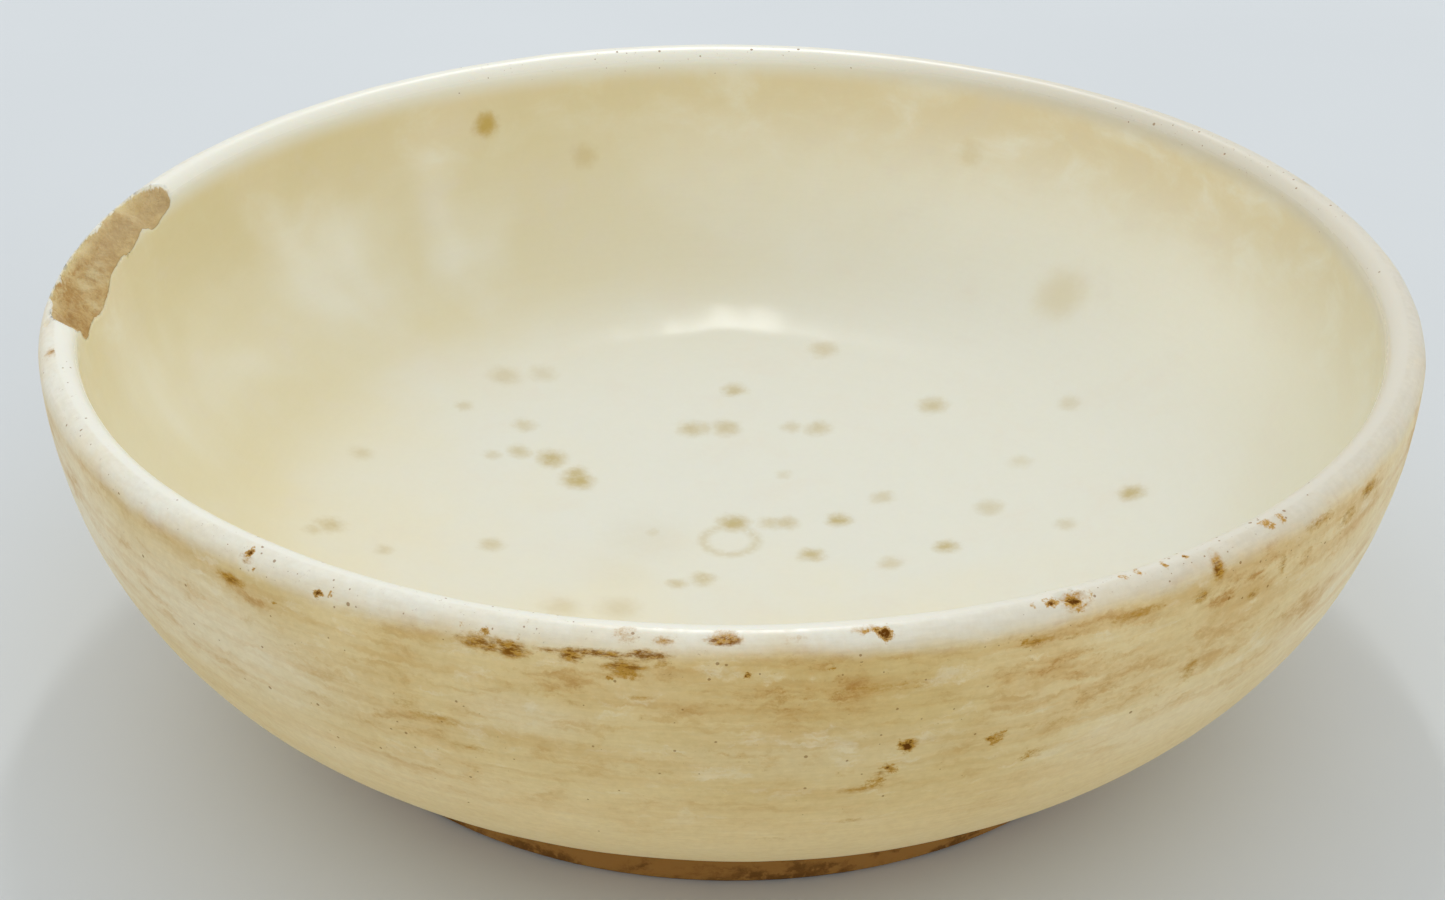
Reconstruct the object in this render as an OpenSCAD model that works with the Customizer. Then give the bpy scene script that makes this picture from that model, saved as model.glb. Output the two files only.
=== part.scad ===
// A shallow turned marble bowl, the mortar of a mortar and pestle.
// It is one block of stone: a rounded lip, a thin upper wall that thickens downwards, a dished
// floor and a low foot. The lip has one broken place.
// The origin is on the surface that the bowl stands on, on the turning axis. +Z is up.

/* [Bowl] */
// Outside diameter, which is widest just under the lip
bowl_d = 200; // [190:1:240]
// Height from the foot's base to the top of the lip
bowl_h = 61.8; // [60:0.2:66]
// Thickness of the wall at its round lip
lip_t = 5.4; // [4:0.2:7]

/* [Outer wall] */
// Radius of the nearly upright arc under the lip
upper_r = 66.5; // [60:0.5:75]
// Angle that the upright arc turns through before the belly begins
upper_turn = 16; // [10:1:22]
// Radius of the belly's arc, which runs down to the foot
belly_r = 51.5; // [46:0.5:53]

/* [Hollow] */
// Radius of the arc from the lip down to the floor
hollow_r = 40; // [34:0.5:41]
// Height of the floor at its middle, where it is lowest
floor_z = 14.6; // [10:0.2:15]

/* [Foot] */
// Diameter of the foot
foot_d = 133; // [110:1:140]
// Width of the ring that the bowl stands on
foot_ring_w = 15; // [8:1:25]
// Depth of the turned recess inside that ring
recess_depth = 1.6; // [0.8:0.2:3]
// Bevel round the foot's lower edge
foot_bevel = 0.8; // [0.4:0.2:1.6]

/* [Broken place in the lip] */
// Direction of its middle, counter-clockwise from +X
chip_turn = 176; // [0:1:359]
// Each bite taken out of the lip: [turn from the middle, distance inside the rim, height above the
// lip's top, radius of the bite]
chip_bites = [
    [-11.6, 9.4, 2.2, 8.2],
    [-6.0, 9.6, 1.4, 7.8],
    [-1.6, 9.2, 2.6, 8.4],
    [3.4, 11.0, 0.6, 10.2],
    [8.6, 10.2, 1.4, 9.6],
    [12.6, 8.6, 3.4, 7.6]
];

/* [Hidden] */
$fn = 180;
marble = "#e3dcc3";

rim_r = bowl_d / 2;
lip_r = lip_t / 2;
// The height at which both faces of the wall stand upright and the round lip begins
lip_z = bowl_h - lip_r;

// Centres of the section's arcs, as [distance from the axis, height]. Each arc meets the next with
// no corner, so their centres lie on one line through the point where they meet.
upper_c = [rim_r - upper_r, lip_z];
belly_c = upper_c + (upper_r - belly_r) * [cos(upper_turn), -sin(upper_turn)];
hollow_c = [rim_r - lip_t - hollow_r, lip_z];

// The floor is a shallow dish centred on the axis. Its radius is the one that lets it meet the
// hollow's arc with no corner.
arc_clearance = lip_z - floor_z - hollow_r;
dish_r = (pow(hollow_c.x, 2) + pow(lip_z - floor_z, 2) - pow(hollow_r, 2)) / (2 * arc_clearance);
dish_c = [0, floor_z + dish_r];
dish_turn = atan2(hollow_c.x, dish_c.y - lip_z);

foot_r = foot_d / 2;
recess_r = foot_r - foot_ring_w;

// Everything of a section that is under the lip's centre
module below_lip() {
    intersection() {
        children();
        square([rim_r, lip_z]);
    }
}

// A slice of the plane with its point at p, between two directions counted up from +X
module slice(p, from, to, reach) {
    polygon([
        p,
        p + reach * [cos(from), sin(from)],
        p + reach * [cos(to), sin(to)]
    ]);
}

module outer_wall_section() {
    // The upright arc
    intersection() {
        translate(upper_c) circle(upper_r);
        slice(upper_c, -upper_turn, 0, 2 * upper_r);
    }
    // The belly
    below_lip() translate(belly_c) circle(belly_r);
    // The middle, out to the belly's centre
    square([belly_c.x, lip_z]);
}

module foot_section() {
    polygon([
        [0, 0],
        [foot_r - foot_bevel, 0],
        [foot_r, foot_bevel],
        [foot_r, belly_c.y / 2],
        [0, belly_c.y / 2]
    ]);
}

module hollow_section() {
    below_lip() translate(hollow_c) circle(hollow_r);
    below_lip() intersection() {
        translate(dish_c) circle(dish_r);
        slice(dish_c, -90, dish_turn - 90, 2 * dish_r);
    }
}

module recess_section() {
    polygon([
        [0, 0],
        [recess_r, 0],
        [recess_r - recess_depth, recess_depth],
        [0, recess_depth]
    ]);
}

module bowl_section() {
    difference() {
        union() {
            outer_wall_section();
            foot_section();
        }
        hollow_section();
        recess_section();
    }
    translate([rim_r - lip_r, lip_z]) circle(lip_r);
}

// What the broken place has lost
module lip_chip() {
    for (bite = chip_bites)
        rotate([0, 0, chip_turn + bite[0]])
            translate([rim_r - bite[1], 0, bowl_h + bite[2]])
                sphere(bite[3]);
}

module bowl() {
    color(marble) difference() {
        rotate_extrude() bowl_section();
        lip_chip();
    }
}

bowl();
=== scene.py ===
"""A turned marble mortar bowl, old and stained, on a plain pale floor.

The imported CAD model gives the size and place. The bowl's CAD node is replaced by one finely made
mesh with the broken lip, nicks and hand-made unevenness of the real stone, and one procedural
marble material. Lengths are in metres. The tables of places and the marble's nodes are in
millimetres. Turns are in degrees, counter-clockwise from +X as seen from above.
"""

import math

import bpy
import numpy as np
from mathutils import Matrix, Vector


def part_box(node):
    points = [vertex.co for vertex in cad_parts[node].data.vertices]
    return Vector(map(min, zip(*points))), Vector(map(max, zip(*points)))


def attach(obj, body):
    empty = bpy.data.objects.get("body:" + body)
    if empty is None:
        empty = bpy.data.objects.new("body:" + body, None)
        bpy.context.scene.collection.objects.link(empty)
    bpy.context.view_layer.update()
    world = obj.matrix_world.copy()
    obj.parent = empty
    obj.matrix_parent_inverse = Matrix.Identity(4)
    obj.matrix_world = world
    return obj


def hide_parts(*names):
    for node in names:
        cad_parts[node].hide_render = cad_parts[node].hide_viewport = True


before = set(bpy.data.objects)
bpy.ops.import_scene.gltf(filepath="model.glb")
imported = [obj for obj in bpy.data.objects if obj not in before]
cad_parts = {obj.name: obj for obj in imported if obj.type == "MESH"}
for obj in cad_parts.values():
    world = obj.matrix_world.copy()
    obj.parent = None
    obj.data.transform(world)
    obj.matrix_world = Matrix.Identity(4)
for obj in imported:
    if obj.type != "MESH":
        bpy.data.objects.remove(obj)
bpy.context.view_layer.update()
_, bowl_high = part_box("bowl")

MM = 0.001

# ---------------------------------------------------------------- sizes

RIM_R = bowl_high.x
HEIGHT = bowl_high.z
LIP_T = 5.4 * MM
UPPER_R = 66.5 * MM
UPPER_TURN = math.radians(16)
BELLY_R = 51.5 * MM
HOLLOW_R = 40 * MM
FLOOR_Z = 14.6 * MM
FOOT_R = 66.5 * MM
FOOT_RING_W = 15 * MM
FOOT_BEVEL = 0.8 * MM
RECESS_DEPTH = 1.6 * MM

LIP_R = LIP_T / 2
LIP_Z = HEIGHT - LIP_R
# The hollow's arc meets the dished floor with no corner, which sets the dish's radius
HOLLOW_C = (RIM_R - LIP_T - HOLLOW_R, LIP_Z)
DISH_R = (HOLLOW_C[0] ** 2 + (LIP_Z - FLOOR_Z) ** 2 - HOLLOW_R**2) / (
    2 * (LIP_Z - FLOOR_Z - HOLLOW_R)
)

# Hand-turned unevenness: (height, width of its lumps, octaves, seed). It fades out towards the
# foot, which stands flat
UNEVEN = (
    (0.28 * MM, 70 * MM, 2, 3),
    (0.07 * MM, 14 * MM, 3, 11),
)
EVEN_BELOW = 1 * MM
EVEN_FADE = 6 * MM

# The broken place: the direction of its middle, and each bite as (turn from the middle, distance
# inside the rim, height above the lip's top, radius), in degrees and millimetres. The first six
# are the CAD model's, and the other six carry the break out to the lip's outer edge
CHIP_TURN = 176
CHIP_BITES = (
    (-11.6, 9.4, 2.2, 8.2),
    (-6.0, 9.6, 1.4, 7.8),
    (-1.6, 9.2, 2.6, 8.4),
    (3.4, 11.0, 0.6, 10.2),
    (8.6, 10.2, 1.4, 9.6),
    (12.6, 8.6, 3.4, 7.6),
    (-10.4, 4.4, 3.6, 5.8),
    (-6.2, 4.6, 3.8, 5.6),
    (-1.4, 3.6, 3.9, 6.0),
    (3.2, 4.4, 3.4, 6.0),
    (7.8, 4.2, 4.2, 6.2),
    (11.8, 5.0, 4.0, 5.6),
)
# Small nicks elsewhere in the lip: (turn, distance inside the rim, height above the lip's top,
# radius)
NICKS = (
    (-66.2, 1.3, 0.5, 1.3),
    (-67.4, 2.2, 0.6, 1.0),
    (-54.7, 0.0, -1.4, 0.7),
    (-79.9, 1.1, 0.2, 0.8),
    (19.7, 2.0, 0.9, 1.6),
    (-169.2, 0.9, 0.3, 1.4),
)
# The lumps of a fracture: (width, height, seed), and how far below LIP_Z it can reach
CHIP_LUMPS = (
    (6 * MM, 0.7 * MM, 21),
    (2.2 * MM, 0.26 * MM, 31),
)
CHIP_REACH = 11 * MM
NICK_LUMPS = ((1.6 * MM, 0.3 * MM, 41),)
NICK_REACH = 5 * MM
# How softly bites run into each other, how far outside a bite its edge may lie, and how far a
# point has to move to count as wholly broken off
BITE_SOFTNESS = 0.6 * MM
BITE_MARGIN = 2 * MM
BROKEN_DEPTH = 0.3 * MM

# ---------------------------------------------------------------- how fine the mesh is

UNDERSIDE_STEP = 4 * MM
RECESS_STEP = 0.8 * MM
FOOT_RING_STEP = 2.5 * MM
BEVEL_STEP = 0.6 * MM
FOOT_STEP = 0.9 * MM
BELLY_STEP = 1.5 * MM
UPPER_STEP = 1.2 * MM
LIP_STEP = 0.3 * MM
HOLLOW_STEP = 1.8 * MM
DISH_STEP = 3 * MM
# Just below the lip the points lie closer, for the broken place and the nicks
NEAR_LIP_TURN = math.radians(9)
NEAR_LIP_STEP = 0.6 * MM
NEAR_HOLLOW_TURN = math.radians(15)
NEAR_HOLLOW_STEP = 0.45 * MM
# Round the bowl they lie closer where the lip is broken and where the front is stained: (start,
# end, step)
FINE_TURNS = (
    (159, 194, 0.25),
    (228, 328, 0.43),
)
COARSE_STEP = 1.35
LAST_TURN = 359.99

# ---------------------------------------------------------------- noise for shapes

AXIS_PRIMES = (73856093, 19349663, 83492791)
SEED_PRIME = 2654435761
MIXING = (
    (15, 2246822519),
    (13, 3266489917),
)
WORD = 0xFFFFFFFF
NOISE_GAIN = 1.4


def lattice_hash(corner, seed):
    """A different large number for each corner of a lattice."""
    across, along, up = [corner[:, axis] * prime for axis, prime in enumerate(AXIS_PRIMES)]
    mixed = (across ^ along ^ up ^ seed * SEED_PRIME) & WORD
    for shift, prime in MIXING:
        mixed = (mixed ^ (mixed >> shift)) * prime & WORD
    return mixed ^ (mixed >> 16)


def gradient_noise(points, cell, seed):
    """Smooth noise from about -1 to 1 whose lumps are about one cell wide."""
    scaled = points / cell
    corner = np.floor(scaled).astype(np.int64)
    within = scaled - corner
    fade = within**3 * (within * (within * 6 - 15) + 10)
    total = np.zeros(len(points))
    for step in np.ndindex(2, 2, 2):
        number = lattice_hash(corner + step, seed)
        # Ten bits of the number give the slope along each axis, from -1 to 1
        slope = np.stack([(number >> shift & 1023) / 511.5 - 1 for shift in (0, 10, 20)], axis=1)
        weight = np.prod(np.where(step, fade, 1 - fade), axis=1)
        total += weight * (slope * (within - step)).sum(axis=1)
    return total * NOISE_GAIN


def rough(points, cell, octaves, seed):
    """Noise with finer and finer lumps, each octave half as large and half as high."""
    return sum(
        gradient_noise(points, cell / 2**i, seed + i) / 2**i for i in range(octaves)
    )


# ---------------------------------------------------------------- the bowl's section


def arc(centre, radius, start, end, step):
    """Points (distance from the axis, height) along an arc, without the last one."""
    count = max(2, round(abs(end - start) * radius / step))
    turns = np.linspace(start, end, count + 1)[:-1]
    return np.stack([centre[0] + radius * np.cos(turns), centre[1] + radius * np.sin(turns)], 1)


def line(start, end, step):
    """Points along a straight line, without the last one."""
    start, end = np.array(start), np.array(end)
    count = max(1, round(np.linalg.norm(end - start) / step))
    return start + (end - start) * np.linspace(0, 1, count + 1)[:-1, None]


def section():
    """The outline from the middle of the underside, round foot, wall and lip, to the middle of
    the floor. Also which side each point is on: 1 outside, 0 in the hollow."""
    upper_c = np.array([RIM_R - UPPER_R, LIP_Z])
    down = np.array([math.cos(UPPER_TURN), -math.sin(UPPER_TURN)])
    belly_c = upper_c + (UPPER_R - BELLY_R) * down
    lip_c = (RIM_R - LIP_R, LIP_Z)
    dish_c = (0, FLOOR_Z + DISH_R)
    dish_start = math.atan2(HOLLOW_C[0], dish_c[1] - LIP_Z) - math.pi / 2
    foot_turn = math.acos((FOOT_R - belly_c[0]) / BELLY_R)
    foot_top = belly_c[1] - BELLY_R * math.sin(foot_turn)
    recess_r = FOOT_R - FOOT_RING_W
    outside = [
        line((0, RECESS_DEPTH), (recess_r - RECESS_DEPTH, RECESS_DEPTH), UNDERSIDE_STEP)[1:],
        line((recess_r - RECESS_DEPTH, RECESS_DEPTH), (recess_r, 0), RECESS_STEP),
        line((recess_r, 0), (FOOT_R - FOOT_BEVEL, 0), FOOT_RING_STEP),
        line((FOOT_R - FOOT_BEVEL, 0), (FOOT_R, FOOT_BEVEL), BEVEL_STEP),
        line((FOOT_R, FOOT_BEVEL), (FOOT_R, foot_top), FOOT_STEP),
        arc(belly_c, BELLY_R, -foot_turn, -UPPER_TURN, BELLY_STEP),
        arc(upper_c, UPPER_R, -UPPER_TURN, -NEAR_LIP_TURN, UPPER_STEP),
        arc(upper_c, UPPER_R, -NEAR_LIP_TURN, 0, NEAR_LIP_STEP),
        arc(lip_c, LIP_R, 0, math.pi / 2, LIP_STEP),
    ]
    hollow = [
        arc(lip_c, LIP_R, math.pi / 2, math.pi, LIP_STEP),
        arc(HOLLOW_C, HOLLOW_R, 0, -NEAR_HOLLOW_TURN, NEAR_HOLLOW_STEP),
        arc(HOLLOW_C, HOLLOW_R, -NEAR_HOLLOW_TURN, dish_start, HOLLOW_STEP),
        arc(dish_c, DISH_R, dish_start, -math.pi / 2, DISH_STEP),
    ]
    outside, hollow = np.concatenate(outside), np.concatenate(hollow)
    side = np.concatenate([np.ones(len(outside)), np.zeros(len(hollow))])
    return np.concatenate([outside, hollow]), side


def ring_turns():
    """Where the rings' points lie, in radians."""
    turns, turn = [], 0.0
    while turn < LAST_TURN:
        turns.append(turn)
        turn += next((step for start, end, step in FINE_TURNS if start <= turn < end), COARSE_STEP)
    return np.radians(turns)


def turned(profile, turns):
    """A profile of (distance from the axis, height) carried round the axis, ring after ring."""
    away = profile[:, 0][:, None]
    up = np.repeat(profile[:, 1:], len(turns), 1)
    return np.stack([away * np.cos(turns), away * np.sin(turns), up], 2).reshape(-1, 3)


def outward(outline):
    """The direction that each point of the outline faces."""
    slopes = np.gradient(outline, axis=0)
    normals = np.stack([slopes[:, 1], -slopes[:, 0]], 1)
    return normals / np.linalg.norm(normals, axis=1)[:, None]


# ---------------------------------------------------------------- what has broken off


def bite_centres(bites, middle):
    """Each bite's centre and radius, in metres."""
    centres, radii = [], []
    for turn, inside, above, radius in bites:
        away = RIM_R - inside * MM
        angle = math.radians(middle + turn)
        centres.append((away * math.cos(angle), away * math.sin(angle), HEIGHT + above * MM))
        radii.append(radius * MM)
    return np.array(centres), np.array(radii)


def near_bites(points, centres, radii):
    """Which points are in a bite or so close to one that its lumps could reach them."""
    apart = np.linalg.norm(points[:, None, :] - centres[None], axis=2)
    return (apart < radii + BITE_MARGIN).any(axis=1)


def outside_bites(points, centres, radii, lumps):
    """How far each point is outside the bites, which run together softly and have a broken,
    lumpy surface."""
    apart = np.linalg.norm(points[:, None, :] - centres[None], axis=2) - radii
    closest = apart.min(axis=1)
    overlap = np.exp((closest[:, None] - apart) / BITE_SOFTNESS).sum(axis=1)
    nearest = closest - BITE_SOFTNESS * np.log(overlap)
    for cell, height, seed in lumps:
        nearest = nearest + height * rough(points, cell, 2, seed)
    return nearest


def settle_edges(points, facing, centres, radii, lumps):
    """Slides the points that are nearly on a bite's edge along the surface onto that edge, so
    that the edge is clean and not a zigzag from point to point."""
    probe, nearly, flattest, rounds = 0.05 * MM, 0.28 * MM, 0.2, 2
    chosen = np.flatnonzero(near_bites(points, centres, radii))
    here, normal = points[chosen], facing[chosen]
    for _ in range(rounds):
        apart = outside_bites(here, centres, radii, lumps)
        probed = [outside_bites(here + probe * axis, centres, radii, lumps) for axis in np.eye(3)]
        slope = np.stack([there - apart for there in probed], axis=1) / probe
        slope -= normal * (slope * normal).sum(axis=1)[:, None]
        steep = np.maximum((slope**2).sum(axis=1), flattest)
        here = here - np.where(np.abs(apart) < nearly, apart / steep, 0)[:, None] * slope
    points[chosen] = here


def take_bites(points, centres, radii, lumps, reach):
    """Moves the points that are in a bite back towards the middle of the wall, until they are
    on the bite's surface. Returns how far each one moved."""
    least, stride, strides, farthest, halvings = 0.02 * MM, 0.02, 48, 0.96, 5
    away = np.hypot(points[:, 0], points[:, 1])
    core = points * ((RIM_R - LIP_R) / np.maximum(away, MM))[:, None]
    core[:, 2] = LIP_Z - reach
    chosen = np.flatnonzero(near_bites(points, centres, radii) & (points[:, 2] > LIP_Z - reach))
    chosen = chosen[outside_bites(points[chosen], centres, radii, lumps) < -least]
    start, way = points[chosen], core[chosen] - points[chosen]

    def clear(share):
        return outside_bites(start + share[:, None] * way, centres, radii, lumps) >= 0

    share = np.zeros(len(chosen))
    for _ in range(strides):
        share = np.where(clear(share), share, np.minimum(share + stride, farthest))
    low, high = np.maximum(share - stride, 0), share
    for _ in range(halvings):
        middle = (low + high) / 2
        free = clear(middle)
        low, high = np.where(free, low, middle), np.where(free, middle, high)
    points[chosen] = start + high[:, None] * way
    moved = np.zeros(len(points))
    moved[chosen] = high * np.linalg.norm(way, axis=1)
    return moved


# ---------------------------------------------------------------- places on the bowl


def around_axis(turn, away_mm, height_mm):
    """The place at a turn, a distance from the axis and a height, in millimetres."""
    angle = math.radians(turn)
    return (away_mm * math.cos(angle), away_mm * math.sin(angle), height_mm)


def on_wall(turn, height_mm):
    """The place on the outer wall or the lip's outside, in millimetres. One parabola stands for
    the wall's two arcs, and stays within 0.3 mm of them down to the belly."""
    bend = 1.12
    rim, lip_z = RIM_R / MM, LIP_Z / MM
    if height_mm >= lip_z:
        rise = min(1.0, (height_mm - lip_z) / (LIP_R / MM))
        away = rim - LIP_R / MM * (1 - math.sqrt(1 - rise * rise))
    else:
        away = rim - 0.5 * (lip_z - height_mm) ** 2 / (UPPER_R / MM) * bend
    return around_axis(turn, away, height_mm)


def on_floor(turn, away_mm):
    """The place on the hollow's dished floor, in millimetres."""
    dish_rise = away_mm**2 * MM / (2 * DISH_R)
    return around_axis(turn, away_mm, FLOOR_Z / MM + dish_rise)


def in_hollow(turn, height_mm):
    """The place on the hollow's wall, in millimetres."""
    drop = LIP_Z / MM - height_mm
    away_mm = HOLLOW_C[0] / MM + math.sqrt((HOLLOW_R / MM) ** 2 - drop**2)
    return around_axis(turn, away_mm, height_mm)


# ---------------------------------------------------------------- where the stains lie

# Spots on the floor: (turn, distance from the axis, radius, strength)
FLOOR_SPOTS = (
    (146, 30, 2.2, 1),
    (143, 31.5, 1.6, 0.9),
    (142, 37.5, 2, 0.9),
    (137, 47.5, 1.6, 0.5),
    (145, 42.5, 1.6, 0.6),
    (150, 45.5, 1.2, 0.4),
    (141, 58, 1.2, 0.45),
    (130, 61, 2.2, 0.45),
    (124, 58.5, 2, 0.35),
    (89, 46, 1.6, 0.75),
    (101, 34.5, 1.8, 0.7),
    (98, 34.5, 1.6, 0.5),
    (91, 34.5, 2, 0.65),
    (73, 36, 1.4, 0.45),
    (66, 37, 1.8, 0.6),
    (74, 60, 2, 0.5),
    (48, 52, 2, 0.7),
    (31, 67, 1.6, 0.4),
    (22, 51.5, 1.6, 0.3),
    (-176, 62, 1.8, 0.65),
    (-174, 64.5, 1.2, 0.45),
    (-173, 37.5, 1.6, 0.55),
    (-170, 54, 1.2, 0.4),
    (163, 63, 1.6, 0.4),
    (84, 5.5, 2, 0.95),
    (40, 8.5, 1.6, 0.55),
    (31, 10.5, 1.6, 0.65),
    (19, 18.5, 1.6, 0.95),
    (26, 27.5, 1.6, 0.5),
    (-19, 13.5, 1.6, 0.85),
    (9, 42, 1.8, 0.5),
    (-7, 34, 1.6, 0.9),
    (-18, 26, 1.6, 0.5),
    (5, 64, 1.8, 0.95),
    (-1, 52.5, 1.4, 0.4),
    (-121, 15.5, 1.2, 0.6),
    (-110, 12.5, 1.6, 0.65),
    (-139, 33.5, 2.2, 0.35),
    (-128, 27, 2.6, 0.35),
    (170, 12.5, 1.2, 0.35),
    (66, 22, 1.2, 0.3),
    (180, 13, 6, 0.12),
    (-150, 20, 5, 0.08),
)
# Ochre spots higher up in the hollow: (turn, height, radius, strength)
HOLLOW_SPOTS = (
    (118, 52, 2.0, 1.0),
    (107, 44, 2.0, 0.35),
    (62, 47, 2.0, 0.3),
    (45, 30, 4.2, 0.35),
)
# Patches on the outside, wiped along the wall: (turn, height, half length, half height,
# strength)
RUST_SMEARS = (
    (-106.5, 58.6, 4, 1.5, 0.8),
    (-104.5, 58.4, 2.4, 1.5, 0.95),
    (-101.5, 59, 2.8, 0.6, 0.8),
    (-100.5, 58.8, 2, 1.2, 1),
    (-98.5, 59.4, 5, 0.7, 0.95),
    (-95.5, 59.6, 3.4, 0.8, 1),
    (-97, 58, 3, 0.9, 0.9),
    (-97, 57, 2.8, 0.8, 0.7),
    (-94.5, 58.6, 0.9, 0.8, 0.9),
    (-97, 61.2, 2, 1, 0.5),
    (-94.5, 61, 1.5, 0.5, 0.8),
    (-90.5, 61.2, 2.6, 0.55, 1),
    (-86, 61.2, 2.6, 0.4, 0.45),
    (-81, 61.6, 2.2, 0.35, 0.5),
    (-66.5, 61.2, 2.2, 0.9, 0.6),
    (-54.5, 60, 1.2, 1.6, 0.9),
    (-56, 57, 1.6, 1.2, 0.75),
    (-61.5, 58, 4.5, 0.7, 0.6),
    (-69.5, 57.8, 2.4, 0.8, 0.7),
    (-67, 57.2, 1.8, 0.5, 0.6),
    (-47.5, 56, 1, 2, 0.75),
    (-50.5, 54, 1.6, 1.2, 0.7),
    (-43, 59.2, 4.2, 1, 0.6),
    (-39, 56.5, 3.4, 1.6, 0.65),
    (-35.5, 57.8, 2.8, 1.5, 0.75),
    (-55.5, 45.5, 1.5, 2.6, 0.6),
    (-58, 43, 1.8, 1.4, 0.4),
    (-113, 47.5, 1.8, 0.8, 0.6),
    (-111, 46, 5, 1.1, 0.5),
    (-108.5, 42, 3.4, 0.8, 0.55),
    (-96, 53.5, 1.6, 0.5, 0.7),
    (-89, 53, 9, 0.8, 0.3),
    (-80, 54.5, 9, 1, 0.4),
    (-78, 45, 1.4, 1.2, 0.9),
    (-79.5, 40.5, 1.4, 1.4, 0.7),
    (-81, 38, 2.6, 1, 0.6),
    (-71.5, 44, 1.8, 0.9, 0.8),
    (-67, 44.5, 5, 0.9, 0.4),
    (-68, 39, 1.8, 1.4, 0.6),
    (-86.5, 27.5, 3, 0.7, 0.4),
    (-94, 25.5, 5, 0.7, 0.4),
    (-81, 31, 2, 0.8, 0.45),
    (-127, 57.2, 2.4, 1, 0.8),
    (-125.5, 60.8, 1.6, 0.7, 0.75),
    (-143.5, 58, 1.2, 2.4, 0.4),
    (-163, 61.6, 1.8, 0.8, 0.7),
    (-20, 56, 3.5, 1, 0.5),
    (4, 58, 5, 0.8, 0.5),
    (31, 55, 3, 1.4, 0.5),
    (64, 57.6, 6, 0.7, 0.8),
    (88, 51, 4, 1, 0.45),
    (121, 58, 3, 0.8, 0.7),
    (147, 46, 4, 1.2, 0.4),
)
TAN_PATCHES = (
    (-100, 54, 14, 3.2, 0.5),
    (-84, 54, 16, 2.6, 0.75),
    (-88, 58, 14, 2.6, 0.6),
    (-66, 58, 12, 2.2, 0.5),
    (-66, 54, 14, 4.0, 0.8),
    (-50, 55, 12, 4.6, 1.0),
    (-38, 56, 10, 4.4, 0.9),
    (-22, 55, 14, 3.4, 0.7),
    (-62, 47, 16, 4.0, 0.5),
    (-46, 45, 10, 5.0, 0.6),
    (-112, 44, 12, 4.0, 0.5),
    (-107, 34, 16, 4.4, 0.45),
    (-95, 33, 12, 3.4, 0.4),
    (-94, 44, 9, 2.4, 0.35),
    (-78, 35, 14, 3.0, 0.3),
    (-92, 30, 22, 3.0, 0.3),
    (-72, 29, 14, 3.0, 0.3),
    (-126, 56, 6, 3.0, 0.5),
    (-150, 52, 12, 3.0, 0.35),
    (0, 48, 22, 5.0, 0.5),
    (34, 54, 18, 4.0, 0.6),
    (70, 52, 26, 5.0, 0.7),
    (104, 40, 24, 6.0, 0.5),
    (132, 54, 20, 4.0, 0.6),
    (160, 38, 22, 5.0, 0.45),
)
PALE_PATCHES = (
    (-132, 46, 24, 11.0, 0.75),
    (-154, 46, 26, 14.0, 0.9),
    (-120, 32, 22, 6.0, 0.45),
    (-104, 49, 8, 3.0, 0.35),
    (-56, 36, 18, 6.0, 0.5),
    (-36, 40, 16, 8.0, 0.75),
    (-84, 44, 16, 5.0, 0.2),
    (-20, 36, 20, 10.0, 0.6),
    (52, 38, 30, 9.0, 0.6),
    (118, 26, 34, 7.0, 0.5),
    (176, 46, 24, 9.0, 0.6),
)
# Where small dirty pits crowd the surface, in the same form
PITTED = (
    (-106, 60.2, 26, 2.6, 0.55),
    (-92, 58.0, 12, 3.2, 0.5),
    (-58, 61.8, 20, 1.2, 1.0),
    (-76, 57.0, 24, 3.4, 0.5),
    (-128, 60.6, 18, 1.8, 0.6),
    (-45, 57.5, 16, 3.6, 0.5),
    (-95, 46.0, 60, 12.0, 0.22),
    (-150, 61.0, 26, 1.8, 0.4),
    (30, 60.6, 40, 2.6, 0.5),
    (100, 60.6, 44, 2.6, 0.5),
)
# Dark crusts on the outside and the lip: (turn, height, radius, strength)
CRUSTS = (
    (-66.5, 61.4, 1.1, 1),
    (-65, 61.4, 0.5, 0.6),
    (-68, 61.6, 0.8, 0.8),
    (-69.5, 61.6, 0.4, 0.5),
    (-80, 61.2, 0.9, 1),
    (-81, 61.4, 0.6, 0.5),
    (-78, 45, 1, 1),
    (-79, 41.5, 0.9, 0.8),
    (-80, 39, 1.2, 0.5),
    (-71.5, 43.5, 0.9, 0.7),
    (-71, 44.5, 0.6, 0.6),
    (-68.5, 39, 1.3, 0.45),
    (-119, 60, 0.6, 1),
    (-118, 60.2, 0.4, 0.7),
    (-125.5, 61.4, 0.6, 0.8),
    (-124.5, 60, 0.4, 0.7),
    (-123, 56.5, 0.4, 0.7),
    (-108, 60.6, 0.4, 0.8),
    (-106.5, 60.2, 0.7, 0.7),
    (-104, 60, 0.5, 0.5),
    (-97, 57.2, 0.9, 0.7),
    (-96.5, 57, 0.8, 0.7),
    (-98, 56, 0.5, 0.6),
    (-89, 57.2, 0.35, 0.9),
    (-83.5, 57.6, 0.3, 0.7),
    (-62, 61.8, 0.7, 0.6),
    (-60.5, 61.8, 0.8, 0.5),
    (-58.5, 61.8, 0.6, 0.6),
    (-56.5, 61.8, 0.5, 0.7),
    (-48.5, 61.6, 0.9, 0.6),
    (-47, 61.6, 0.8, 0.6),
    (-70.5, 58, 0.6, 0.6),
)


# ---------------------------------------------------------------- the bowl's mesh


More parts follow.
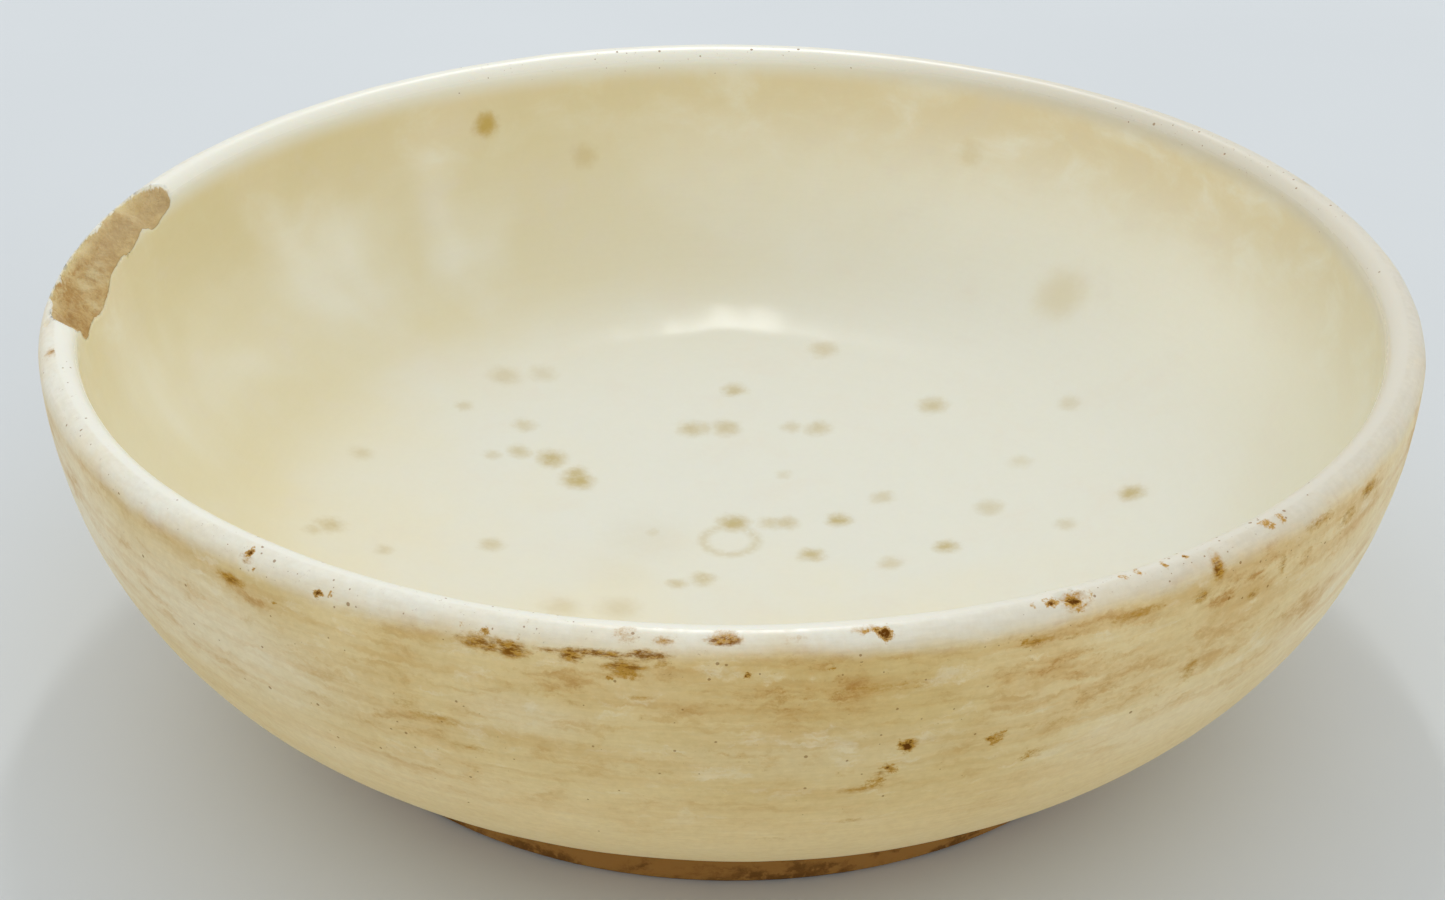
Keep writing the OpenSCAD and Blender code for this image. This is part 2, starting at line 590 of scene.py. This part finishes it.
def soft_blobs(points, rows):
    """The strongest of many soft patches on the outside, at each point: 0 to 1. A patch is full
    out to 0.25 of its half length and half height, and gone at 1.5 of them."""
    depth_mm, depth_per_curve_mm = 6, 60
    total = np.zeros(len(points))
    for turn, height, half_along, half_up, strength in rows:
        offset = points / MM - np.array(on_wall(turn, height))
        cos, sin = math.cos(math.radians(turn)), math.sin(math.radians(turn))
        # A long patch reaches deeper, to follow the wall as it curves away
        deep = depth_mm + half_up + half_along**2 / depth_per_curve_mm
        along = (offset[:, 1] * cos - offset[:, 0] * sin) / half_along
        inward = (offset[:, 0] * cos + offset[:, 1] * sin) / deep
        up = offset[:, 2] / half_up
        near = np.clip(1.2 - 0.8 * np.sqrt(along**2 + up**2 + inward**2), 0, 1)
        total = np.maximum(total, strength * near**2 * (3 - 2 * near))
    return total


def bowl_faces(rings, around):
    """The rings joined by quads, and closed at both ends by the two points that come last."""
    under, floor = rings * around, rings * around + 1
    index = np.arange(rings * around).reshape(rings, around)
    after = np.roll(index, -1, axis=1)
    quads = np.stack([index[:-1], after[:-1], after[1:], index[1:]], 2).reshape(-1, 4)
    faces = quads.tolist()
    faces += [(under, int(b), int(a)) for a, b in zip(index[0], after[0])]
    faces += [(int(a), int(b), floor) for a, b in zip(index[-1], after[-1])]
    return faces


def make_bowl():
    """The bowl as one closed mesh, with masks that tell the marble where its stains lie."""
    outline, side = section()
    turns = ring_turns()
    points, facing = turned(outline, turns), turned(outward(outline), turns)

    lift = np.clip((points[:, 2] - EVEN_BELOW) / EVEN_FADE, 0, 1)[:, None]
    uneven = sum(height * rough(points, *lumps) for height, *lumps in UNEVEN)
    points += facing * lift * uneven[:, None]

    centres, radii = bite_centres(NICKS, 0)
    settle_edges(points, facing, centres, radii, NICK_LUMPS)
    take_bites(points, centres, radii, NICK_LUMPS, NICK_REACH)
    centres, radii = bite_centres(CHIP_BITES, CHIP_TURN)
    settle_edges(points, facing, centres, radii, CHIP_LUMPS)
    chipped = take_bites(points, centres, radii, CHIP_LUMPS, CHIP_REACH)

    points = np.concatenate([points, [[0, 0, RECESS_DEPTH], [0, 0, FLOOR_Z]]])
    outside = np.append(np.repeat(side, len(turns)), (1, 0))
    masks = {
        "outside": outside,
        "broken": np.append(np.clip(chipped / BROKEN_DEPTH, 0, 1), (0, 0)),
        "rust": outside * soft_blobs(points, RUST_SMEARS),
        "tan": outside * soft_blobs(points, TAN_PATCHES),
        "pale": outside * soft_blobs(points, PALE_PATCHES),
        "pitted": soft_blobs(points, PITTED),
    }
    mesh = bpy.data.meshes.new("marble_bowl")
    mesh.from_pydata(points.tolist(), [], bowl_faces(len(outline), len(turns)))
    mesh.validate()
    for name, values in masks.items():
        mask = mesh.attributes.new(name, "FLOAT", "POINT")
        mask.data.foreach_set("value", values.astype(np.float32))
    mesh.polygons.foreach_set("use_smooth", np.ones(len(mesh.polygons), bool))
    mesh.update()
    bowl = bpy.data.objects.new("marble_bowl", mesh)
    bpy.context.collection.objects.link(bowl)
    return bowl


# ---------------------------------------------------------------- colours


def paint(red, green, blue):
    """A shader colour from 0-255 screen values."""
    def linear(value):
        share = value / 255
        return share / 12.92 if share <= 0.04045 else ((share + 0.055) / 1.055) ** 2.4
    return (linear(red), linear(green), linear(blue), 1.0)


FLOOR_WHITE = paint(233, 231, 217)
FLOOR_WARM = paint(240, 229, 194)
WALL_CREAM = paint(244, 240, 220)
WALL_YELLOW = paint(232, 216, 172)
WALL_AGED = paint(226, 212, 164)
WALL_DIM = paint(214, 208, 178)
WALL_ROSY = paint(232, 222, 204)
LIP_WHITE = paint(238, 235, 220)
LIP_WARM = paint(218, 211, 192)
WALL_HONEY = paint(236, 215, 161)
WALL_AMBER = paint(224, 198, 134)
WALL_PALE = paint(246, 236, 206)
# Painted light: the outer wall's right side, paler as if lit from the floor and window there
WALL_PAINTED_LIGHT_RIGHT = paint(250, 232, 184)
# Partly a paler belly, partly painted bounce light from the floor below
WALL_PALE_BELLY_AND_BOUNCE = paint(250, 224, 164)
RUST_GOLD = paint(190, 144, 60)
RUST_DARK = paint(118, 68, 12)
CRUST_BROWN = paint(104, 62, 18)
PIT_BROWN = paint(140, 96, 44)
# The foot's browns are partly real dirt and partly painted shade where the bowl meets the floor
FOOT_DIRT_AND_SHADE = paint(146, 94, 28)
FOOT_DARK_DIRT_AND_SHADE = paint(74, 42, 14)
BREAK_BROWN = paint(174, 134, 78)
BREAK_TAN = paint(202, 170, 114)
BREAK_PALE = paint(222, 205, 158)
# These multiply the stone's own colour
TAN_TINT = paint(230, 200, 140)
STREAK_TINT = paint(214, 178, 108)
GRAIN_TINT = paint(190, 178, 150)
SPOT_TINT = paint(208, 184, 112)
OCHRE_TINT = paint(226, 206, 150)
# The plain floor that the bowl stands on
TABLE_LIGHT = paint(215, 219, 221)
TABLE_DARK = paint(211, 215, 217)
TABLE_ROUGHNESS = 0.55

# ---------------------------------------------------------------- materials


class Nodes:
    """Builds a material's nodes. A value may be a number, a colour or another node's socket."""

    def __init__(self, name):
        self.material = bpy.data.materials.new(name)
        self.material.use_nodes = True
        self.tree = self.material.node_tree
        self.tree.nodes.clear()

    def put(self, value, socket):
        """Gives a socket its value, or joins it to another one."""
        if isinstance(value, bpy.types.NodeSocket):
            self.tree.links.new(value, socket)
        else:
            socket.default_value = value

    def add(self, kind, values=(), out=0, **settings):
        """A new node's output. The values are for its inputs and the settings for the node."""
        node = self.tree.nodes.new("ShaderNode" + kind)
        for name, value in settings.items():
            setattr(node, name, value)
        for key, value in dict(values).items():
            self.put(value, node.inputs[key])
        return node.outputs[out]

    def attribute(self, name):
        return self.add("Attribute", out=2, attribute_name=name)

    def math(self, operation, a, b=0.0, c=0.0):
        return self.add("Math", {0: a, 1: b, 2: c}, operation=operation)

    def plus(self, a, b):
        return self.math("ADD", a, b)

    def minus(self, a, b):
        return self.math("SUBTRACT", a, b)

    def times(self, a, b):
        return self.math("MULTIPLY", a, b)

    def most(self, first, *others):
        """The largest of several values."""
        for other in others:
            first = self.math("MAXIMUM", first, other)
        return first

    def swing(self, noise, amount):
        """Noise moved to lie about zero and scaled, to make an edge ragged."""
        return self.times(self.minus(noise, 0.5), amount)

    def vector(self, operation, a, b=(0, 0, 0), out=0):
        return self.add("VectorMath", {0: a, 1: b}, out, operation=operation)

    def scaled(self, vector, amount):
        return self.add("VectorMath", {0: vector, "Scale": amount}, operation="SCALE")

    def squeezed(self, place, share):
        """Places squeezed level, so that noise on them is drawn out round the bowl."""
        return self.vector("MULTIPLY", place, (share, share, 1.0))

    def fall(self, value, start, end, top=1.0):
        """Goes smoothly from 0 at start to top at end. start may be the larger."""
        values = {"Value": value, "From Min": start, "From Max": end, "To Max": top}
        return self.add("MapRange", values, interpolation_type="SMOOTHSTEP")

    def noise(self, place, size, detail=3.0, roughness=0.55, distortion=0.0, out=0):
        """size is the width of the largest lumps, in the units of place."""
        values = {
            "Vector": place,
            "Scale": 1 / size,
            "Detail": detail,
            "Roughness": roughness,
            "Distortion": distortion,
        }
        return self.add("TexNoise", values, out)

    def mix(self, share, a, b, blend="MIX"):
        """Colour a with a share of colour b over it."""
        node = self.tree.nodes.new("ShaderNodeMix")
        node.data_type = "RGBA"
        node.blend_type = blend
        node.clamp_factor = True
        sockets = {socket.name: socket for socket in node.inputs if socket.enabled}
        for name, value in {"Factor": share, "A": a, "B": b}.items():
            self.put(value, sockets[name])
        return next(socket for socket in node.outputs if socket.enabled)

    def tint(self, share, colour, tint):
        """A colour multiplied by a tint, in part."""
        return self.mix(share, colour, tint, "MULTIPLY")

    def finish(self, surface):
        end = self.tree.nodes.new("ShaderNodeOutputMaterial")
        self.tree.links.new(surface, end.inputs["Surface"])
        return self.material


class Marble(Nodes):
    """The bowl's stone. Places, heights and sizes are in millimetres. Each step paints over the
    colour it is given, and the steps that leave something dull also return its mask."""

    def __init__(self):
        super().__init__("marble")
        self.place = self.scaled(self.add("TexCoord", out=3), 1 / MM)
        self.height = self.add("SeparateXYZ", {0: self.place}, out=2)
        self.away = self.vector("LENGTH", self.vector("MULTIPLY", self.place, (1, 1, 0)), out=1)
        self.outside = self.attribute("outside")
        self.inside = self.minus(1.0, self.outside)
        self.tan = self.attribute("tan")
        self.pitted = self.attribute("pitted")
        self.rightward = self.along(0.01, 0)

        # Spots are never quite round, so their distances are measured from shaken places
        shake = self.noise(self.place, 2.6, 4.0, 0.7, out=1)
        shake = self.vector("SUBTRACT", shake, (0.5, 0.5, 0.5))
        self.shaken = self.vector("ADD", self.place, self.scaled(shake, 2.8))

        self.clouds = self.noise(self.place, 40, 3.0, 0.5, 0.3)
        self.blotches = self.noise(self.squeezed(self.place, 0.7), 9, 5.0, 0.62, 0.4)
        self.mottles = self.noise(self.squeezed(self.shaken, 0.4), 3.4, 5.0, 0.66, 0.3)
        self.grain = self.noise(self.place, 1.1, 3.0, 0.6)
        self.crumbs = self.noise(self.place, 1.0, 4.0, 0.7)
        self.flecks = self.noise(self.squeezed(self.place, 0.6), 0.6, 4.0, 0.8)
        self.brushed = self.noise(self.squeezed(self.shaken, 0.07), 2.2, 4.0, 0.6)
        self.lines = self.noise(self.squeezed(self.place, 0.06), 0.45, 3.0, 0.6)
        self.dashes = self.noise(self.squeezed(self.place, 0.2), 0.36, 3.0, 0.7, 0.2)

    def along(self, x, y):
        """How far a place lies from the axis in a direction across the bowl."""
        return self.vector("DOT_PRODUCT", self.place, (x, y, 0), out=1)

    def lip(self):
        """White, and a little warmer on the right."""
        return self.mix(self.fall(self.rightward, -0.1, 0.8), LIP_WHITE, LIP_WARM)

    def hollow(self, lip):
        """A whiter floor, and walls that have yellowed, most on the left."""
        height, clouds, blotches = self.height, self.clouds, self.blotches
        warm = self.plus(self.along(-0.006, -0.01), self.times(clouds, 1.5))
        colour = self.mix(self.fall(warm, 0.55, 1.6), FLOOR_WHITE, FLOOR_WARM)
        colour = self.mix(self.fall(height, 18, 42), colour, WALL_CREAM)
        high_wall = self.times(self.fall(height, 36, 57), self.fall(blotches, 0.2, 0.6))
        colour = self.mix(self.times(high_wall, 0.85), colour, WALL_YELLOW)
        leftward = self.fall(self.along(-0.0087, 0.005), -0.2, 1.1)
        aged = self.times(leftward, self.fall(height, 16, 26))
        aged = self.times(aged, self.fall(clouds, 0.25, 0.6))
        colour = self.mix(self.times(aged, 0.85), colour, WALL_AGED)
        far_right = self.fall(self.along(0.0085, -0.005), 0.4, 1.0)
        dim = self.times(far_right, self.fall(height, 18, 32))
        colour = self.mix(self.times(dim, 0.65), colour, WALL_DIM)
        rosy = self.times(self.fall(blotches, 0.5, 0.75), 0.25)
        colour = self.mix(rosy, colour, WALL_ROSY)
        return self.mix(self.fall(height, 56.0, 60.2), colour, lip)

    def wall(self, lip):
        """Honey-coloured, with paler and browner patches, under a whiter lip. Painted light on the
        right, and a paler belly with painted bounce light.
        """
        blotches, mottles, tan = self.blotches, self.mottles, self.tan
        colour = self.mix(self.fall(self.clouds, 0.35, 0.65), WALL_HONEY, WALL_AMBER)
        colour = self.mix(self.times(self.attribute("pale"), 0.85), colour, WALL_PALE)
        # Painted light: the wall is painted paler towards the right, standing in for light falling
        # on that side
        painted_light_right = self.times(self.fall(self.rightward, 0.3, 1.0), 0.6)
        colour = self.mix(painted_light_right, colour, WALL_PAINTED_LIGHT_RIGHT)
        wiped = self.times(self.fall(self.brushed, 0.42, 0.7), 0.4)
        colour = self.tint(wiped, colour, TAN_TINT)
        colour = self.tint(self.times(self.fall(mottles, 0.5, 0.72), 0.45), colour, TAN_TINT)
        colour = self.mix(self.times(self.fall(mottles, 0.46, 0.3), 0.4), colour, WALL_PALE)
        patchy = self.times(self.plus(blotches, mottles), 0.5)
        browned = self.times(tan, self.fall(patchy, 0.4, 0.58))
        colour = self.tint(self.times(browned, 0.6), colour, TAN_TINT)
        streaks = self.fall(self.plus(mottles, self.times(self.flecks, 0.5)), 0.78, 0.96)
        streaks = self.times(streaks, self.plus(self.times(tan, 0.42), 0.1))
        colour = self.tint(streaks, colour, STREAK_TINT)
        # Paler and warmer towards the foot: partly a paler, less stained belly, partly painted
        # bounce light from the floor
        low = self.times(self.fall(self.height, 48, 18), 0.95)
        colour = self.mix(low, colour, WALL_PALE_BELLY_AND_BOUNCE)
        # The lip's white ends raggedly, and higher where the wall is stained
        ragged = self.plus(self.height, self.swing(blotches, 4.0))
        ragged = self.minus(ragged, self.times(tan, 2.0))
        return self.mix(self.fall(ragged, 57.8, 62.3), colour, lip), streaks

    def grained(self, colour):
        """The grains and brush lines of the stone, which show most on the outside."""
        speckled = self.plus(self.grain, self.times(self.lines, 0.8))
        depth = self.plus(self.times(self.outside, 0.17), 0.03)
        return self.tint(self.times(self.fall(speckled, 0.5, 1.3), depth), colour, GRAIN_TINT)

    def round_spots(self, spots, softness):
        """The strongest of many roundish spots. Each is (centre, radius, strength)."""
        reaches = []
        for centre, radius, strength in spots:
            apart = self.vector("DISTANCE", self.shaken, centre, out=1)
            start, end = radius * (1 + softness), radius * (1 - softness)
            reaches.append(self.fall(apart, start, end, strength))
        return self.most(*reaches)

    def floor_spots(self, colour):
        """Spots on the floor, and a worn ring at its middle where the turning ended."""
        rows = [(on_floor(turn, away), size, share) for turn, away, size, share in FLOOR_SPOTS]
        spots = self.round_spots(rows, 0.85)
        to_ring = self.math("ABSOLUTE", self.minus(self.away, 4.2))
        ring = self.times(self.fall(to_ring, 1.7, 0.0), self.fall(self.grain, 0.1, 0.6))
        spots = self.most(spots, self.times(ring, 0.4))
        spots = self.times(self.times(spots, self.fall(self.grain, -0.3, 0.55)), self.inside)
        return self.tint(self.times(spots, 0.78), colour, SPOT_TINT), spots

    def hollow_spots(self, colour):
        """Larger, softer ochre spots on the hollow's wall."""
        rows = [(in_hollow(turn, up), size, share) for turn, up, size, share in HOLLOW_SPOTS]
        spots = self.times(self.round_spots(rows, 0.7), self.inside)
        return self.tint(spots, colour, OCHRE_TINT), spots

    def rusted(self, colour):
        """Rust: a golden stain with dark dashes and flecks in it."""
        rust = self.attribute("rust")
        loose = self.minus(self.plus(self.brushed, self.flecks), 1.0)
        stain = self.fall(self.plus(rust, self.times(loose, 1.3)), 0.2, 1.0)
        stain = self.times(stain, self.fall(rust, 0.0, 0.3))
        colour = self.mix(stain, colour, RUST_GOLD)
        dark = self.fall(self.plus(self.dashes, self.times(rust, 0.14)), 0.57, 0.66)
        dark = self.times(self.times(dark, stain), self.fall(rust, 0.35, 0.95))
        return self.mix(self.times(dark, 0.85), colour, RUST_DARK), stain

    def crusted(self, colour):
        """Small dark crusts, crumbly at their edges, each in a golden halo."""
        rows = [(on_wall(turn, up), size, share) for turn, up, size, share in CRUSTS]
        reach = self.round_spots(rows, 0.8)
        crumbly = self.plus(reach, self.swing(self.flecks, 1.8))
        halo = self.times(self.fall(crumbly, 0.25, 0.6), self.fall(reach, 0.0, 0.15))
        colour = self.mix(self.times(halo, 0.9), colour, RUST_GOLD)
        crust = self.times(self.fall(crumbly, 0.6, 0.95), self.fall(reach, 0.0, 0.3))
        return self.mix(crust, colour, CRUST_BROWN), halo

    def pits(self, colour):
        """Tiny pits and grit that hold dirt, crowded together where the mask says so."""
        cell = self.add("TexVoronoi", {"Vector": self.place, "Scale": 1 / 0.95}).node.outputs
        chance = self.add("SeparateColor", {0: cell["Color"]}).node.outputs
        crowd = self.plus(self.times(self.pitted, 0.8), self.times(self.outside, 0.01))
        radius = self.plus(self.times(self.times(chance[1], chance[2]), 0.26), 0.04)
        ragged = self.plus(cell["Distance"], self.swing(self.flecks, 0.3))
        pit = self.fall(self.minus(ragged, radius), 0.04, -0.02)
        pit = self.times(pit, self.math("LESS_THAN", chance[0], crowd))
        grit = self.times(self.fall(self.flecks, 0.63, 0.72), self.fall(self.pitted, 0.05, 0.6))
        pit = self.most(pit, grit)
        return self.mix(self.times(pit, 0.65), colour, PIT_BROWN), pit

    def foot_dirt_and_shade(self, colour):
        """Brown dirt with painted contact shade on the foot, darker in places and towards the
        floor, that ends raggedly above it.
        """
        # This band is partly dirt and partly painted contact shade along the foot
        dirt = self.plus(self.height, self.swing(self.blotches, 7))
        dirt = self.times(self.fall(dirt, 9.0, 4.5), self.outside)
        colour = self.mix(self.times(dirt, 0.9), colour, FOOT_DIRT_AND_SHADE)
        # Darker patches that grow towards the floor: dirt with painted contact shade
        caked_and_shaded = self.plus(self.mottles, self.times(self.fall(self.height, 6.0, 0.5), 0.2))
        caked_and_shaded = self.times(dirt, self.fall(caked_and_shaded, 0.58, 0.76))
        caked_and_shaded = self.times(caked_and_shaded, self.fall(self.grain, 0.3, 0.5))
        return self.mix(self.times(caked_and_shaded, 0.65), colour, FOOT_DARK_DIRT_AND_SHADE), dirt

    def bare_break(self, colour, broken):
        """The broken place has weathered to an uneven brown, paler at its outer edge and at its
        far end."""
        browner = self.times(self.plus(self.crumbs, self.mottles), 0.5)
        bare = self.mix(self.fall(browner, 0.4, 0.6), BREAK_BROWN, BREAK_TAN)
        pale = self.times(self.fall(self.away, 97, 99.5), self.fall(self.mottles, 0.4, 0.55))
        pale = self.most(pale, self.fall(self.blotches, 0.56, 0.68))
        bare = self.mix(self.times(pale, 0.7), bare, BREAK_PALE)
        farther = self.fall(self.along(0, 0.1), -0.2, 2.2)
        bare = self.mix(self.times(farther, 0.32), bare, BREAK_PALE)
        edge = self.plus(broken, self.swing(self.crumbs, 0.9))
        share = self.times(self.fall(edge, 0.3, 0.6), self.fall(broken, 0.0, 0.15))
        return self.mix(self.times(share, 0.93), colour, bare), self.fall(broken, 0.0, 0.15)

    def roughness(self, polish, stained):
        """Smoothest in the hollow, duller outside and dullest where it is stained."""
        dull = self.plus(0.13, self.times(self.outside, 0.27))
        dull = self.times(dull, self.minus(1.0, polish))
        dull = self.plus(dull, self.times(polish, 0.32))
        coarse = self.times(self.fall(self.grain, 0.4, 0.8), self.outside)
        dull = self.plus(dull, self.times(coarse, 0.1))
        return self.plus(dull, self.times(stained, 0.35))

    def shine(self, polish, stained):
        """Strongest on the worn lip, and none where it is stained."""
        shine = self.plus(0.07, self.times(self.outside, 0.18))
        shine = self.plus(shine, self.times(polish, 0.8))
        return self.times(shine, self.minus(1.0, stained))

    def relief(self, polish, broken):
        """Relief finer than the mesh: grains, brush lines and crumbs."""
        depth = self.math("MULTIPLY_ADD", polish, -0.006, 0.008)
        relief = self.times(self.times(self.grain, self.outside), depth)
        relief = self.plus(relief, self.times(self.times(self.lines, self.outside), 0.02))
        relief = self.plus(relief, self.times(self.times(self.crumbs, broken), 0.5))
        return self.add("Bump", {"Strength": 1.0, "Distance": MM, "Height": relief})


def marble():
    """The bowl's material, painted from the stone's own colour outwards."""
    nodes = Marble()
    broken = nodes.attribute("broken")
    lip = nodes.lip()
    wall, streaks = nodes.wall(lip)
    colour = nodes.mix(nodes.outside, nodes.hollow(lip), wall)
    colour = nodes.grained(colour)
    colour, floor_spots = nodes.floor_spots(colour)
    colour, ochre = nodes.hollow_spots(colour)
    colour, stain = nodes.rusted(colour)
    colour, halo = nodes.crusted(colour)
    colour, pit = nodes.pits(colour)
    # The foot's mask carries both its dirt and its painted contact shade
    colour, foot = nodes.foot_dirt_and_shade(colour)
    colour, bare = nodes.bare_break(colour, broken)

    stained = nodes.most(stain, halo, floor_spots, streaks, bare, foot, ochre, pit)
    polish = nodes.fall(nodes.height, 58.5, 61)
    shader = nodes.add(
        "BsdfPrincipled",
        {
            "Base Color": colour,
            "Roughness": nodes.roughness(polish, stained),
            "Specular IOR Level": nodes.shine(polish, stained),
            "Normal": nodes.relief(polish, broken),
            "Subsurface Weight": 0.3,
            "Subsurface Radius": (1.0, 0.82, 0.55),
            "Subsurface Scale": 4 * MM,
        },
    )
    return nodes.finish(shader)


def floor_material():
    """Almost even, with a slight change of tone."""
    nodes = Nodes("pale_floor")
    tone = nodes.noise(nodes.add("TexCoord", out=3), 0.25, 4.0, 0.5)
    colour = nodes.mix(nodes.fall(tone, 0.3, 0.7), TABLE_LIGHT, TABLE_DARK)
    shader = nodes.add("BsdfPrincipled", {"Base Color": colour, "Roughness": TABLE_ROUGHNESS})
    return nodes.finish(shader)


# ---------------------------------------------------------------- camera, floor and light

# The photograph's view: how high the camera stands above the horizon, its distance and the point
# it looks at, from the rim's radius, and its focal length for a 36 mm wide picture
CAMERA_UP = math.radians(28.99)
CAMERA_AWAY = 3.706 * RIM_R
CAMERA_ROLL = math.radians(0.23)
CAMERA_LENS = 59.8
CAMERA_SENSOR = 36
CAMERA_CLIP = 0.01
LOOK_AT = Vector((-0.012 * RIM_R, 0, 0.309 * RIM_R))

FLOOR_HALF = 6.0

# One oval window lamp behind the bowl and above it, and an even pale sky
WINDOW_UP = math.radians(59)
WINDOW_AWAY = 1.3
WINDOW_SIZE = (0.065, 0.52)
WINDOW_POWER = 2.3
WINDOW_COLOUR = (0.96, 0.99, 1.0)
SKY_COLOUR = (0.95, 0.975, 1.0, 1)
SKY_STRENGTH = 0.9


def make_camera():
    """The camera at the photograph's view."""
    data = bpy.data.cameras.new("camera")
    data.sensor_width = CAMERA_SENSOR
    data.lens = CAMERA_LENS
    data.clip_start = CAMERA_CLIP
    camera = bpy.data.objects.new("camera", data)
    back = Vector((0, -math.cos(CAMERA_UP), math.sin(CAMERA_UP)))
    tilt = Matrix.Rotation(math.pi / 2 - CAMERA_UP, 4, "X")
    roll = Matrix.Rotation(CAMERA_ROLL, 4, "Z")
    camera.matrix_world = Matrix.Translation(LOOK_AT + CAMERA_AWAY * back) @ tilt @ roll
    bpy.context.collection.objects.link(camera)
    bpy.context.scene.camera = camera


def make_floor():
    """A plain floor, wide enough to fill the view from every side."""
    half = FLOOR_HALF
    corners = [(-half, -half, 0), (half, -half, 0), (half, half, 0), (-half, half, 0)]
    mesh = bpy.data.meshes.new("floor")
    mesh.from_pydata(corners, [], [(0, 1, 2, 3)])
    floor = bpy.data.objects.new("floor", mesh)
    bpy.context.collection.objects.link(floor)
    floor.data.materials.append(floor_material())


def make_light():
    """The window lamp and the sky."""
    data = bpy.data.lights.new("window", "AREA")
    data.shape = "ELLIPSE"
    data.size, data.size_y = WINDOW_SIZE
    data.energy = WINDOW_POWER
    data.color = WINDOW_COLOUR
    window = bpy.data.objects.new("window", data)
    towards = Vector((0, math.cos(WINDOW_UP), math.sin(WINDOW_UP)))
    facing = towards.to_track_quat("Z", "Y").to_matrix().to_4x4()
    window.matrix_world = Matrix.Translation(WINDOW_AWAY * towards) @ facing
    bpy.context.collection.objects.link(window)

    world = bpy.data.worlds.new("studio")
    world.use_nodes = True
    background = world.node_tree.nodes["Background"]
    background.inputs["Color"].default_value = SKY_COLOUR
    background.inputs["Strength"].default_value = SKY_STRENGTH
    bpy.context.scene.world = world
    bpy.context.scene.view_settings.view_transform = "Standard"


# ---------------------------------------------------------------- the scene

make_camera()
make_floor()
make_light()

bowl = make_bowl()
bowl.data.materials.append(marble())
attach(bowl, "root")
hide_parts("bowl")
